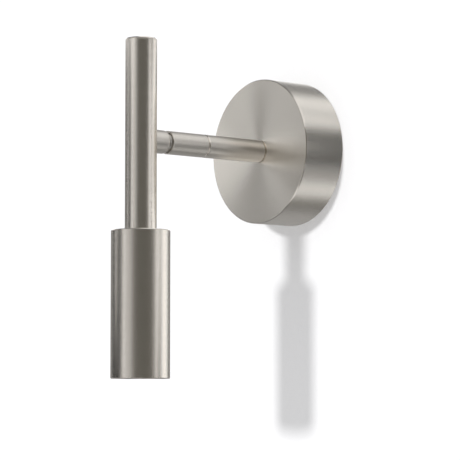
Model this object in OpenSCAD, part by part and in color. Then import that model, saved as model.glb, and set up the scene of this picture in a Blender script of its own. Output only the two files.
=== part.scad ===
// Tube wall light. A round wall canopy carries a straight arm, and a slim upright stem
// with a wider lamp head at its lower end turns on the swivel at the end of the arm.
// The origin is the centre of the wall face. +Y goes into the wall, +Z is up, and the
// light stands out from the wall along -Y. All sizes are in millimetres.

/* [Canopy] */
// Outer diameter of the canopy
canopy_d = 102; // [96:1:140]
// Depth of the canopy, from the wall to its face
canopy_depth = 33.5; // [32:0.5:50]
// Thickness of the canopy's side wall
canopy_wall = 1.6; // [1:0.1:2.4]
// Thickness of the canopy's face
canopy_face_t = 2.4; // [1.5:0.1:3.5]
// Chamfer round the canopy's face
canopy_chamfer = 0.6; // [0.2:0.1:0.9]

/* [Mounting plate] */
// Thickness of the mounting plate
plate_t = 2; // [1.5:0.1:3]
// Distance between the two wall screw holes
wall_screw_pitch = 60; // [52:1:76]
// Diameter of a wall screw hole
wall_screw_hole_d = 4.5; // [3.5:0.1:6]
// Diameter of the cable hole
cable_hole_d = 16; // [13:0.5:20]
// Width of an ear that takes a cover screw
ear_w = 14; // [8:1:20]
// Thickness of an ear
ear_t = 3; // [2:0.1:5]
// Height of an ear above the plate
ear_h = 12; // [9:0.5:16]
// Thread diameter of a cover screw
cover_screw_d = 4; // [3:0.5:5]
// Height of the cover screws above the wall
cover_screw_at = 8; // [6:0.5:10]
// Hexagon socket of a cover screw, across its corners
cover_screw_socket = 2.3; // [1.8:0.1:2.4]
// Bore of the cable grommet
grommet_bore = 11; // [8:0.5:12]
// Thickness of the grommet's flange
grommet_flange_t = 1.4; // [1:0.1:2]

/* [Terminal block] */
// Width of the terminal block
block_w = 26; // [24:1:32]
// Height of the terminal block
block_h = 12; // [10:0.5:16]
// Depth of the terminal block
block_depth = 12; // [11:0.5:14]
// Drop of the block's top below the middle of the canopy
block_drop = 22; // [18:0.5:28]
// Distance from one pole of the block to the next
pole_pitch = 8; // [7.6:0.1:9]
// Diameter of a clamping screw
clamp_screw_d = 3; // [2.5:0.1:3.2]
// Diameter of the screws that hold the block and the lamp holder
small_screw_d = 3; // [2.5:0.1:3.2]
// Thread diameter of the earth screw
earth_screw_d = 4; // [3:0.5:5]
// Place of the earth screw, to the right of the middle
earth_x = 20; // [16:1:22]
// Place of the earth screw, above the middle
earth_z = 19; // [16:1:22]

/* [Arm] */
// Outer diameter of the arm
arm_d = 16; // [15.6:0.2:22]
// Wall of the arm tube
arm_wall = 1.5; // [1:0.1:1.6]
// Length of the arm tube, from the canopy to the seam
arm_len = 50.5; // [36:0.5:120]
// Thread diameter of the hollow nipples
nipple_d = 10; // [9.2:0.1:10.4]
// Bore of the hollow nipples
nipple_bore = 7.2; // [7:0.1:7.6]
// Length of thread that a nipple has in its plug
nipple_grip = 10; // [6:0.5:12]
// Length of a plug past the end of the nipple
plug_shoulder = 4; // [2:0.5:8]
// Nut of a nipple, across its flats
nipple_nut_af = 14; // [13:0.5:17]
// Thickness of a nipple's nut
nipple_nut_t = 5; // [3:0.5:6]
// Diameter of a nipple's washer
nipple_washer_d = 20; // [17:0.5:24]
// Thickness of a nipple's washer
nipple_washer_t = 1.2; // [0.8:0.1:1.6]

/* [Swivel] */
// Length of the swivel barrel, from the seam to the groove
barrel_len = 31.5; // [29:0.5:60]
// Width of the groove between barrel and collar
groove_w = 1.9; // [0.8:0.1:4]
// Depth of the groove
groove_depth = 1.4; // [1.2:0.1:1.8]
// Length of the collar, from the groove to the stem
collar_len = 9.35; // [8:0.05:20]
// Rounding of the collar's rim at the groove
collar_round = 1.6; // [0.4:0.1:3]
// Length that the joiner has in the arm tube
joiner_arm_len = 10; // [5:0.5:20]
// Length that the joiner has in the barrel
joiner_barrel_len = 4; // [2:0.5:5]
// Length of the nut chamber in the barrel
chamber_len = 15.5; // [14.5:0.5:17]
// Diameter of the spindle's journal
journal_d = 9; // [8.4:0.1:9.4]
// Thread diameter of the spindle
spindle_thread_d = 8; // [7:0.1:8.2]
// Bore of the spindle
spindle_bore = 4.2; // [3.9:0.1:4.8]
// Wall of the bronze bush
bush_wall = 1; // [0.8:0.1:1.2]
// Solid length of the barrel's web between the bronze bush and the seat of the stop pin
bush_land = 1; // [0.5:0.1:3]
// Depth of the counterbore that takes the spindle's hub
counterbore_depth = 3; // [2.6:0.1:4]
// Diameter of the stop pin
stop_pin_d = 1.5; // [1:0.1:1.6]
// Width of the spindle's stop lug
stop_lug_w = 1.3; // [1:0.1:2]
// Thickness of the low-friction washer
friction_washer_t = 0.8; // [0.5:0.1:1.2]
// Height of the disc spring
disc_spring_h = 1.2; // [1:0.1:1.5]
// Thickness of the disc spring's steel
disc_spring_t = 0.6; // [0.4:0.1:0.8]
// Thickness of one slotted nut on the spindle
slotted_nut_t = 3; // [2:0.1:3]

/* [Stem] */
// Outer diameter of the stem
stem_d = 21.5; // [20.5:0.5:30]
// Wall of the stem
stem_wall = 1.25; // [1:0.05:1.5]
// Height of the stem's top above the arm's axis
stem_up = 69; // [30:1:160]
// Drop of the stem's lower end below the arm's axis
stem_down = 61; // [40:1:160]
// Thickness of the cap's visible rim
cap_t = 1.5; // [1.2:0.1:4]
// Width of the cap's bevel
cap_bevel_w = 0.7; // [0.2:0.1:1.2]
// Height of the cap's bevel
cap_bevel_h = 1; // [0.2:0.1:1.1]
// Length of the cap's spigot in the stem
cap_spigot = 6; // [3:0.5:12]
// Nut inside the stem, across its flats
stem_nut_af = 11; // [10.2:0.1:11.4]
// Thickness of the nut inside the stem
stem_nut_t = 3.5; // [2.5:0.1:3.6]
// Diameter of the saddle washer inside the stem
saddle_d = 12; // [11:0.1:12.6]

/* [Lamp head] */
// Outer diameter of the head
head_d = 40; // [39:0.5:56]
// Length of the head
head_len = 99.5; // [92:0.5:140]
// Wall of the head
head_wall = 1.6; // [1:0.1:1.8]
// Thickness of the head's top
head_top_t = 3; // [2:0.1:4]
// Chamfer round the head's rims
head_chamfer = 0.5; // [0.1:0.1:0.8]
// Thickness of the holder bracket's strip
bracket_t = 1.2; // [0.8:0.1:1.6]
// Width of the holder bracket
bracket_w = 14; // [11:0.5:16]
// Drop from the head's inner top to the lamp holder
bracket_drop = 20; // [18:0.5:24]
// Diameter of the ceramic lamp holder
holder_d = 28; // [26:0.5:30]
// Height of the ceramic lamp holder
holder_h = 15; // [13:0.5:18]
// Distance between the lamp's two pins
pin_pitch = 10; // [9:0.5:10]
// Length of the lamp's pins
pin_len = 7.6; // [5:0.1:8]
// Diameter of a pin's head
pin_head_d = 5; // [4.4:0.1:5]
// Length of the lamp, without its pins
lamp_len = 42; // [38:0.5:44]
// Diameter of the lamp's base
lamp_base_d = 24; // [20:0.5:26]
// Thickness of the lamp's lens
lens_t = 1.8; // [1:0.1:2.4]
// Wall of the glare baffle at its thickest
baffle_wall = 3; // [2:0.1:4]
// Depth of one step of the glare baffle
baffle_step = 1; // [0.4:0.1:1.4]
// Number of steps of the glare baffle
baffle_steps = 5; // [2:1:8]
// Distance of the baffle's lower end from the mouth of the head
baffle_recess = 1.5; // [0.5:0.1:4]

/* [Cable] */
// Diameter of the lamp cable
cable_d = 3.2; // [2.4:0.1:3.2]
// Radius of the cable's bend in the canopy
canopy_bend = 6; // [5:0.5:8]
// Radius of the cable's bend in the stem
stem_bend = 4.8; // [4.6:0.1:4.8]

/* [Hidden] */
$fn = 96;

// Overrun of a cut past the faces that it opens
over = 1;
// Radial clearance of pieces that are fixed in each other
fit = 0.05;
// Radial clearance of the turning journal
running = 0.05;
// Clearance of a screw in a plain hole
screw_clear = 0.2;
// Clearance between turning faces of the swivel
turn_gap = 0.1;
// Clearance between loose pieces
gap = 0.3;
// Rim chamfer of the arm tube and the barrel
seam_chamfer = 0.2;

// Canopy and plate
canopy_r = canopy_d / 2;
canopy_in_r = canopy_r - canopy_wall;
canopy_inside = canopy_depth - canopy_face_t;
plate_gap = 0.5;
plate_r = canopy_in_r - plate_gap;
ear_gap = 2;
ear_top = canopy_in_r - ear_gap;
screw_recess = 0.3;
cover_screw_len = ear_gap + ear_t + canopy_wall - screw_recess;
cover_socket_depth = 2;

// Block, earth screw and nipples
block_front = plate_t + block_depth;
clamp_screw_proud = 0.5;
clamp_screw_len = 4;
small_head_d = 1.75 * small_screw_d;
small_head_t = 0.55 * small_screw_d;
earth_head_d = 2 * earth_screw_d;
earth_head_t = 0.65 * earth_screw_d;
earth_washer_d = 2.4 * earth_screw_d;
earth_washer_t = 0.8;
nipple_r = nipple_d / 2;
nipple_hole_r = nipple_r + screw_clear;
nipple_proud = 1;
nipple_back = canopy_inside - nipple_washer_t - nipple_nut_t - nipple_proud;
washer_bore = nipple_d + 2 * screw_clear;

// Arm and swivel, as distances from the wall
arm_r = arm_d / 2;
arm_in_r = arm_r - arm_wall;
plug_len = nipple_grip + plug_shoulder;
seam_at = canopy_depth + arm_len;
web_back = seam_at + chamber_len;
groove_at = seam_at + barrel_len;
web_front = groove_at - counterbore_depth;
collar_at = groove_at + groove_w;
stem_r = stem_d / 2;
stem_in_r = stem_r - stem_wall;
stem_at = collar_at + collar_len + stem_r;
chamber_r = arm_in_r;
journal_r = journal_d / 2;
thread_r = spindle_thread_d / 2;
bush_r = journal_r + running + bush_wall;
neck_r = arm_r - groove_depth;
counterbore_r = neck_r + screw_clear;
hub_r = journal_r + 2 * screw_clear;
hub_len = 1.6;
stop_pin_r = stop_pin_d / 2;
stop_pin_place = counterbore_r - fit - stop_pin_r;
stop_pin_seat = 4;
bush_len = web_front - web_back - bush_land - stop_pin_seat;
friction_at = web_back - friction_washer_t;
spring_at = friction_at - turn_gap - disc_spring_h;
nut_at = spring_at - slotted_nut_t;
lock_nut_at = nut_at - fit - slotted_nut_t;
nut_slot = 1.4;
spindle_back = lock_nut_at - nipple_proud;
spindle_nut_r = chamber_r - gap;
stem_nut_r = stem_nut_af / 2 / cos(30);
saddle_face = sqrt(pow(stem_in_r, 2) - pow(stem_nut_r, 2)) - gap / 2;
spindle_end = stem_at - saddle_face + stem_nut_t + fit;
cable_turn = stem_at - spindle_end;

// Stem and head, as heights from the arm's axis
cap_under = stem_up - cap_t;
head_r = head_d / 2;
head_in_r = head_r - head_wall;
head_inside = -stem_down - head_top_t;
head_bottom = -stem_down - head_len;
head_nut_top = head_inside - bracket_t - nipple_washer_t;
head_nipple_end = head_nut_top - nipple_nut_t - nipple_proud;
bracket_gap = 2.8;
bracket_leg = head_in_r - bracket_gap;
holder_top = head_inside - bracket_drop;
holder_r = holder_d / 2;
holder_screw_place = 10.2;
holder_screw_len = 8;
contact_t = 0.8;
socket_depth = pin_len + contact_t + 2 * gap;
holder_bottom = holder_top - holder_h;
lamp_top = holder_bottom - gap;
lamp_bottom = lamp_top - lamp_len;
lamp_clear = 1;
lamp_r = head_in_r - lamp_clear;
lamp_base_len = 13;
lamp_rim = 5;
pin_head_t = 2;
pin_neck_d = 3;
lens_rim = 1.2;
baffle_top = lamp_bottom - 2 * gap;
baffle_bottom = head_bottom + baffle_recess;
baffle_pitch = (baffle_top - baffle_bottom) / baffle_steps;

// Cable
cable_r = cable_d / 2;
wire_hole_r = cable_r + gap;
wire_grip = 4;
cable_joint = spindle_back - gap;

// Colours
nickel = "#b4aea3";
steel = "#9a9c9e";
zinc = "#b9bcc0";
brass = "#b5954c";
bronze = "#8c6a3c";
ceramic = "#e8e4da";
black = "#202020";
white = "#dedede";

// Places its children at a distance from the wall, with their +Z pointing into the room
module from_wall(distance) {
    translate([0, -distance, 0]) rotate([90, 0, 0]) children();
}

// Places its children on the stem's axis at a height above the arm's axis
module on_stem(height) {
    translate([0, -stem_at, height]) children();
}

module ring(r_out, r_in, h) {
    difference() {
        cylinder(r = r_out, h = h);
        translate([0, 0, -over]) cylinder(r = r_in, h = h + 2 * over);
    }
}

// Bored tube with a small chamfer at the outer rim of both ends
module rimmed_tube(r_out, r_in, h, rim) {
    rotate_extrude() polygon([
        [r_in, 0], [r_out - rim, 0], [r_out, rim],
        [r_out, h - rim], [r_out - rim, h], [r_in, h]]);
}

module hex_nut(r_corner, r_in, h) {
    difference() {
        cylinder(r = r_corner, h = h, $fn = 6);
        translate([0, 0, -over]) cylinder(r = r_in, h = h + 2 * over);
    }
}

// Screw with a round head that stands on z = 0 and a shank below it
module headed_screw(d, head_d, head_t, shank) {
    slot_w = head_d / 6;
    slot_depth = head_t / 2;
    difference() {
        union() {
            cylinder(d = head_d, h = head_t);
            translate([0, 0, -shank]) cylinder(d = d, h = shank);
        }
        translate([-head_d, -slot_w / 2, head_t - slot_depth]) cube([2 * head_d, slot_w, head_t]);
    }
}

// Plug that takes a nipple at z = 0 and lets the cable through its shoulder
module nipple_plug(r_out) {
    difference() {
        cylinder(r = r_out, h = plug_len);
        translate([0, 0, -over]) cylinder(r = nipple_r + fit, h = nipple_grip + over + gap);
        translate([0, 0, -over]) cylinder(d = nipple_bore, h = plug_len + 2 * over);
    }
}

// Children at both cover screws, with their +Z pointing outwards from the canopy's axis
module at_cover_screws() {
    for (turn = [0, 180])
        rotate([0, 0, turn]) translate([0, 0, cover_screw_at]) rotate([-90, 0, 0]) children();
}

module canopy_cover() {
    color(nickel) from_wall(0) difference() {
        rotate_extrude() polygon([
            [nipple_hole_r, canopy_depth], [canopy_r - canopy_chamfer, canopy_depth],
            [canopy_r, canopy_depth - canopy_chamfer], [canopy_r, 0], [canopy_in_r, 0],
            [canopy_in_r, canopy_inside], [nipple_hole_r, canopy_inside]]);
        at_cover_screws() translate([0, 0, canopy_in_r - over])
            cylinder(r = cover_screw_d / 2 + screw_clear, h = canopy_wall + 2 * over);
    }
}

module cover_screws() {
    color(steel) from_wall(0) at_cover_screws() translate([0, 0, ear_top - ear_t]) difference() {
        cylinder(d = cover_screw_d, h = cover_screw_len);
        translate([0, 0, cover_screw_len - cover_socket_depth])
            cylinder(d = cover_screw_socket, h = cover_socket_depth + over, $fn = 6);
    }
}

module mounting_plate() {
    color(zinc) from_wall(0) difference() {
        union() {
            cylinder(r = plate_r, h = plate_t);
            for (turn = [0, 180]) rotate([0, 0, turn])
                translate([-ear_w / 2, ear_top - ear_t, 0]) cube([ear_w, ear_t, plate_t + ear_h]);
        }
        translate([0, 0, -over]) cylinder(d = cable_hole_d, h = plate_t + 2 * over);
        for (side = [-1, 1]) translate([side * wall_screw_pitch / 2, 0, -over])
            cylinder(d = wall_screw_hole_d, h = plate_t + 2 * over);
        translate([pole_pitch / 2, -block_drop - block_h / 2, -over])
            cylinder(r = small_screw_d / 2 + fit, h = plate_t + 2 * over);
        translate([earth_x, earth_z, -over])
            cylinder(r = earth_screw_d / 2 + fit, h = plate_t + 2 * over);
        at_cover_screws() translate([0, 0, ear_top - ear_t - over])
            cylinder(r = cover_screw_d / 2 + fit, h = ear_t + 2 * over);
    }
}

// Snap-in sleeve with one flange on the room side of the plate
module cable_grommet() {
    sleeve_r = cable_hole_d / 2 - fit;
    flange_r = cable_hole_d / 2 + 2 * grommet_flange_t;
    color(black) from_wall(0) rotate_extrude() polygon([
        [grommet_bore / 2, gap], [sleeve_r, gap], [sleeve_r, plate_t], [flange_r, plate_t],
        [flange_r, plate_t + grommet_flange_t], [grommet_bore / 2, plate_t + grommet_flange_t]]);
}

module terminal_block() {
    color(white) from_wall(plate_t) difference() {
        translate([-block_w / 2, -block_drop - block_h, 0]) cube([block_w, block_h, block_depth]);
        for (pole = [-1, 0, 1]) {
            translate([pole * pole_pitch, -block_drop + over, cover_screw_at - plate_t])
                rotate([90, 0, 0]) cylinder(r = wire_hole_r, h = block_h + 2 * over);
            for (row = [1, 3])
                translate([pole * pole_pitch, -block_drop - row * block_h / 4, block_depth - clamp_screw_len])
                    cylinder(r = clamp_screw_d / 2 + fit, h = clamp_screw_len + over);
        }
        translate([pole_pitch / 2, -block_drop - block_h / 2, -over])
            cylinder(r = small_screw_d / 2 + screw_clear / 2, h = block_depth + 2 * over);
    }
}

module clamp_screws() {
    slot_w = clamp_screw_d / 5;
    color(zinc) for (pole = [-1, 0, 1], row = [1, 3])
        from_wall(block_front - clamp_screw_len + fit)
            translate([pole * pole_pitch, -block_drop - row * block_h / 4, 0]) difference() {
                cylinder(d = clamp_screw_d, h = clamp_screw_len + clamp_screw_proud);
                translate([-clamp_screw_d, -slot_w / 2, clamp_screw_len])
                    cube([2 * clamp_screw_d, slot_w, clamp_screw_proud + over]);
            }
}

module block_screw() {
    color(zinc) from_wall(block_front) translate([pole_pitch / 2, -block_drop - block_h / 2, 0])
        headed_screw(small_screw_d, small_head_d, small_head_t, block_depth + plate_t - gap);
}

module earth_screw() {
    color(brass) from_wall(plate_t + earth_washer_t) translate([earth_x, earth_z, 0])
        headed_screw(earth_screw_d, earth_head_d, earth_head_t, plate_t + earth_washer_t - gap);
}

module earth_washer() {
    color(zinc) from_wall(plate_t) translate([earth_x, earth_z, 0])
        ring(earth_washer_d / 2, earth_screw_d / 2 + screw_clear, earth_washer_t);
}

module canopy_nipple() {
    color(zinc) from_wall(nipple_back)
        ring(nipple_r, nipple_bore / 2, canopy_depth + nipple_grip - nipple_back);
}

module canopy_washer() {
    color(zinc) from_wall(canopy_inside - nipple_washer_t)
        ring(nipple_washer_d / 2, washer_bore / 2, nipple_washer_t);
}

module canopy_nut() {
    color(zinc) from_wall(nipple_back + nipple_proud)
        hex_nut(nipple_nut_af / 2 / cos(30), nipple_r + fit, nipple_nut_t);
}

module arm_tube() {
    color(nickel) from_wall(canopy_depth) rimmed_tube(arm_r, arm_in_r, arm_len, seam_chamfer);
}

module arm_base_plug() {
    color(brass) from_wall(canopy_depth) nipple_plug(arm_in_r - fit);
}

module arm_joiner() {
    color(brass) from_wall(seam_at - joiner_arm_len)
        ring(arm_in_r - fit, nipple_bore / 2, joiner_arm_len + joiner_barrel_len);
}

// Nut chamber towards the wall, web with the bush's seat, counterbore towards the collar
module swivel_barrel() {
    bush_end = chamber_len + bush_len;
    web_end = barrel_len - counterbore_depth;
    web_r = journal_r + screw_clear;
    color(nickel) from_wall(seam_at) difference() {
        rotate_extrude() polygon([
            [chamber_r, 0], [arm_r - seam_chamfer, 0], [arm_r, seam_chamfer],
            [arm_r, barrel_len - seam_chamfer], [arm_r - seam_chamfer, barrel_len],
            [counterbore_r, barrel_len], [counterbore_r, web_end], [web_r, web_end],
            [web_r, bush_end], [bush_r + fit / 2, bush_end], [bush_r + fit / 2, chamber_len],
            [chamber_r, chamber_len]]);
        translate([0, -stop_pin_place, web_end - stop_pin_seat])
            cylinder(r = stop_pin_r + fit / 2, h = stop_pin_seat + over);
    }
}

module swivel_bush() {
    color(bronze) from_wall(web_back) ring(bush_r, journal_r + running, bush_len - fit);
}

module friction_washer() {
    color(white) from_wall(friction_at) ring(chamber_r - gap, journal_r + screw_clear, friction_washer_t);
}

module stop_pin() {
    color(steel) from_wall(web_front - stop_pin_seat + fit) translate([0, -stop_pin_place, 0])
        cylinder(r = stop_pin_r, h = stop_pin_seat + hub_len - fit - turn_gap);
}

// Hollow spindle from the barrel's nut chamber, through the collar, into the stem
module swivel_spindle() {
    bore_r = spindle_bore / 2;
    hub_at = web_front + turn_gap;
    neck_at = hub_at + hub_len;
    lug_top = counterbore_r - gap;
    color(steel) from_wall(0) union() {
        rotate_extrude() polygon([
            [bore_r, spindle_back], [thread_r, spindle_back], [thread_r, spring_at],
            [journal_r, spring_at], [journal_r, hub_at], [hub_r, hub_at], [hub_r, neck_at],
            [neck_r, neck_at], [neck_r, collar_at], [thread_r, collar_at],
            [thread_r, spindle_end], [bore_r, spindle_end]]);
        translate([-stop_lug_w / 2, journal_r, hub_at])
            cube([stop_lug_w, lug_top - journal_r, hub_len + turn_gap]);
    }
}

// Short collar whose far end is cut to the stem and whose rim at the groove is rounded
module swivel_collar() {
    color(nickel) difference() {
        from_wall(collar_at) rotate_extrude() difference() {
            union() {
                translate([0, collar_round]) square([arm_r, stem_at - collar_at - collar_round]);
                square([arm_r - collar_round, stem_at - collar_at]);
                translate([arm_r - collar_round, collar_round]) circle(r = collar_round);
            }
            translate([0, -over]) square([thread_r + fit, stem_at - collar_at + 2 * over]);
        }
        on_stem(-arm_d) cylinder(r = stem_r + fit / 2, h = 2 * arm_d);
    }
}

module disc_spring() {
    spring_out = chamber_r - gap;
    spring_in = journal_r + screw_clear;
    color(steel) from_wall(spring_at) rotate_extrude() polygon([
        [spring_in, 0], [spring_in, disc_spring_t], [spring_out, disc_spring_h],
        [spring_out, disc_spring_h - disc_spring_t]]);
}

module slotted_nuts() {
    color(steel) for (place = [nut_at, lock_nut_at]) from_wall(place) difference() {
        ring(spindle_nut_r, thread_r + fit, slotted_nut_t);
        for (turn = [0, 90, 180, 270]) rotate([0, 0, turn])
            translate([-nut_slot / 2, spindle_nut_r - nut_slot, -over])
                cube([nut_slot, nut_slot + over, slotted_nut_t + 2 * over]);
    }
}

// Washer with one flat side and one side that lies in the curve of the stem
module saddle_washer() {
    color(zinc) difference() {
        intersection() {
            on_stem(-saddle_d) cylinder(r = stem_in_r - fit / 2, h = 2 * saddle_d);
            from_wall(stem_at - stem_in_r) cylinder(d = saddle_d, h = stem_in_r - saddle_face);
        }
        from_wall(stem_at - stem_r) cylinder(r = thread_r + screw_clear, h = stem_r);
    }
}

module stem_nut() {
    color(zinc) from_wall(stem_at - saddle_face) hex_nut(stem_nut_r, thread_r + fit, stem_nut_t);
}

module stem_tube() {
    color(nickel) difference() {
        on_stem(-stem_down) ring(stem_r, stem_in_r, stem_down + cap_under);
        from_wall(stem_at - stem_r - over) cylinder(r = thread_r + screw_clear, h = stem_r);
    }
}

module stem_cap() {
    color(nickel) on_stem(cap_under) rotate_extrude() polygon([
        [0, -cap_spigot], [stem_in_r - fit, -cap_spigot], [stem_in_r - fit, 0], [stem_r, 0],
        [stem_r, cap_t - cap_bevel_h], [stem_r - cap_bevel_w, cap_t], [0, cap_t]]);
}

module stem_base_plug() {
    color(brass) on_stem(-stem_down) nipple_plug(stem_in_r - fit);
}

module head_shell() {
    color(nickel) on_stem(head_bottom) rotate_extrude() polygon([
        [nipple_hole_r, head_len - head_top_t], [nipple_hole_r, head_len],
        [head_r - head_chamfer, head_len], [head_r, head_len - head_chamfer],
        [head_r, head_chamfer], [head_r - head_chamfer, 0], [head_in_r, 0],
        [head_in_r, head_len - head_top_t]]);
}

module head_nipple() {
    color(zinc) on_stem(head_nipple_end)
        ring(nipple_r, nipple_bore / 2, nipple_grip - stem_down - head_nipple_end);
}

module head_washer() {
    color(zinc) on_stem(head_nut_top) ring(nipple_washer_d / 2, washer_bore / 2, nipple_washer_t);
}

module head_nut() {
    color(zinc) on_stem(head_nut_top - nipple_nut_t)
        hex_nut(nipple_nut_af / 2 / cos(30), nipple_r + fit, nipple_nut_t);
}

// Strip folded to a U, clamped under the head's top, with two inward feet for the holder
module holder_bracket() {
    foot_start = holder_screw_place - small_head_d / 2 - gap;
    color(zinc) on_stem(holder_top) difference() {
        union() {
            translate([-bracket_leg, -bracket_w / 2, bracket_drop - bracket_t])
                cube([2 * bracket_leg, bracket_w, bracket_t]);
            for (turn = [0, 180]) rotate([0, 0, turn]) {
                translate([bracket_leg - bracket_t, -bracket_w / 2, 0])
                    cube([bracket_t, bracket_w, bracket_drop]);
                translate([foot_start, -bracket_w / 2, 0])
                    cube([bracket_leg - foot_start, bracket_w, bracket_t]);
            }
        }
        translate([0, 0, bracket_drop - bracket_t - over])
            cylinder(d = washer_bore, h = bracket_t + 2 * over);
        for (side = [-1, 1]) translate([side * holder_screw_place, 0, -over])
            cylinder(r = small_screw_d / 2 + screw_clear, h = bracket_t + 2 * over);
    }
}

module holder_screws() {
    color(zinc) for (side = [-1, 1])
        on_stem(holder_top + bracket_t) translate([side * holder_screw_place, 0, 0])
            headed_screw(small_screw_d, small_head_d, small_head_t, holder_screw_len);
}

module lamp_holder() {
    color(ceramic) on_stem(holder_bottom) difference() {
        cylinder(r = holder_r, h = holder_h);
        for (side = [-1, 1]) {
            translate([side * pin_pitch / 2, 0, -over])
                cylinder(r = pin_head_d / 2 + gap, h = socket_depth + over);
            translate([side * holder_screw_place, 0, holder_h - holder_screw_len])
                cylinder(r = small_screw_d / 2 + fit, h = holder_screw_len + over);
        }
        translate([0, cable_turn - stem_bend, holder_h - wire_grip])
            cylinder(r = wire_hole_r, h = wire_grip + over);
    }
}

module holder_contacts() {
    color(brass) for (side = [-1, 1])
        on_stem(holder_bottom + socket_depth - contact_t) translate([side * pin_pitch / 2, 0, 0])
            cylinder(d = pin_head_d, h = contact_t);
}

// Reflector lamp: round base, flared body and a recess for the lens
module lamp_body() {
    lens_r = lamp_r - lens_rim;
    color(white) on_stem(lamp_bottom) rotate_extrude() polygon([
        [0, lens_t], [lens_r, lens_t], [lens_r, 0], [lamp_r, 0], [lamp_r, lamp_rim],
        [lamp_base_d / 2, lamp_len - lamp_base_len], [lamp_base_d / 2, lamp_len], [0, lamp_len]]);
}

module lamp_pins() {
    color(steel) for (side = [-1, 1]) on_stem(lamp_top) translate([side * pin_pitch / 2, 0, 0]) union() {
        cylinder(d = pin_neck_d, h = pin_len);
        translate([0, 0, pin_len - pin_head_t]) cylinder(d = pin_head_d, h = pin_head_t);
    }
}

module lamp_lens() {
    color("#dfe6ea") on_stem(lamp_bottom) cylinder(r = lamp_r - lens_rim - fit, h = lens_t);
}

// Black ring in the head's mouth whose inside is cut in steps against glare
module glare_baffle() {
    baffle_r = head_in_r - 2 * fit;
    inner_r = baffle_r - baffle_wall;
    teeth = [for (i = [0 : baffle_steps - 1]) each [
        [inner_r + baffle_step, i * baffle_pitch], [inner_r, (i + 1) * baffle_pitch]]];
    color(black) on_stem(baffle_bottom) rotate_extrude() polygon(concat(
        teeth, [[baffle_r, baffle_steps * baffle_pitch], [baffle_r, 0]]));
}

// Quarter of a ring of cable, from level at its top to upright at its wall side
module cable_bend(bend) {
    rotate([0, -90, 0]) rotate_extrude(angle = 90) translate([bend, 0]) circle(r = cable_r);
}

// Fixed length of the cable, from the terminal block to the swivel
module arm_cable() {
    bend_at = cover_screw_at + canopy_bend;
    color(white) union() {
        from_wall(bend_at) cylinder(r = cable_r, h = cable_joint - bend_at);
        translate([0, -bend_at, -canopy_bend]) cable_bend(canopy_bend);
        translate([0, -cover_screw_at, -block_drop - wire_grip])
            cylinder(r = cable_r, h = block_drop + wire_grip - canopy_bend);
    }
}

// Turning length of the cable, from the swivel to the lamp holder
module stem_cable() {
    color(white) translate([0, -spindle_end, 0]) union() {
        rotate([-90, 0, 0]) cylinder(r = cable_r, h = spindle_end - cable_joint - fit);
        translate([0, 0, -stem_bend]) mirror([0, 1, 0]) cable_bend(stem_bend);
        translate([0, -stem_bend, -stem_bend]) rotate([180, 0, 0])
            cylinder(r = cable_r, h = wire_grip - gap - stem_bend - holder_top);
    }
}

canopy_cover();
cover_screws();
mounting_plate();
cable_grommet();
terminal_block();
clamp_screws();
block_screw();
earth_screw();
earth_washer();
canopy_nipple();
canopy_washer();
canopy_nut();
arm_tube();
arm_base_plug();
arm_joiner();
swivel_barrel();
swivel_bush();
friction_washer();
stop_pin();
arm_cable();
swivel_spindle();
swivel_collar();
disc_spring();
slotted_nuts();
saddle_washer();
stem_nut();
stem_tube();
stem_cap();
stem_base_plug();
stem_cable();
head_shell();
head_nipple();
head_washer();
head_nut();
holder_bracket();
holder_screws();
lamp_holder();
holder_contacts();
lamp_body();
lamp_pins();
lamp_lens();
glare_baffle();
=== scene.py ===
"""Tube wall light in satin nickel, dressed around its packed construction.

The part's own frame is kept: the origin is the middle of the wall face, +Y goes into the wall
and +Z is up. Lengths are in metres, and sizes written in millimetres are multiplied by MM.
"""

import logging
import math
from dataclasses import dataclass
from enum import Enum
from typing import Any, Callable, Sequence

import bmesh
import bpy
import numpy as np
from bpy.types import ID, Material, Mesh, Node, NodeSocket, NodeTree, Object
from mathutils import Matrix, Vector


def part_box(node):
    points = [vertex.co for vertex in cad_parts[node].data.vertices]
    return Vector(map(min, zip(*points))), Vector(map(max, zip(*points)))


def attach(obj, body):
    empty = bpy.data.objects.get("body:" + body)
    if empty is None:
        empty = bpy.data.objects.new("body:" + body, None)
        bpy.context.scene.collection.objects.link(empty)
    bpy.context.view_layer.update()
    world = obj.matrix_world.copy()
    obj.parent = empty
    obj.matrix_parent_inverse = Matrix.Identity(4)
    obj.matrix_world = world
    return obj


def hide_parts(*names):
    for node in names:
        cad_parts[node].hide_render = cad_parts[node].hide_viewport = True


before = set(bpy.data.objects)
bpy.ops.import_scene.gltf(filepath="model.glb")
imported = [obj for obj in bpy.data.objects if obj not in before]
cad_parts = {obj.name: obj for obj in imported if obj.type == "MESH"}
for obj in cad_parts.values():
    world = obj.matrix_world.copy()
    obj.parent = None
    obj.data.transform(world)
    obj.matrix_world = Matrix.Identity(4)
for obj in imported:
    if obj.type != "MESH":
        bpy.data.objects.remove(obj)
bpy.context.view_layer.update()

log = logging.getLogger("tube_wall_light")

MM = 0.001
# Distance past a fillet at which a support ring keeps the flat beside it flat
SUPPORT = 0.2 * MM
# Fillet of an edge that is only deburred
DEBURR = 0.1 * MM
# Points nearer than this are one point
MERGE = 1e-7
# Faces that turn less than this against each other are one flat face
FLAT = math.radians(0.5)
# Edges that turn by more than this shade as sharp edges
SHARP = math.radians(38.0)
# Shares of a face's normal along the axis, up to which it is wall and from which it is an end
FLAT_WALL, FLAT_END = 0.3, 0.95
# Values between which noise stays for the most part
NOISE_LOW, NOISE_HIGH = 0.3, 0.7
# Sockets of the colour mixer: its two colours and its result
MIX_FIRST, MIX_SECOND, MIX_RESULT = 6, 7, 2

WALL_SIDE = "wall_side"
LAMP_SIDE = "lamp_side"

Colour = tuple[float, float, float, float]
Point = tuple[float, float, float]
Inputs = dict[int | str, Any]
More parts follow.
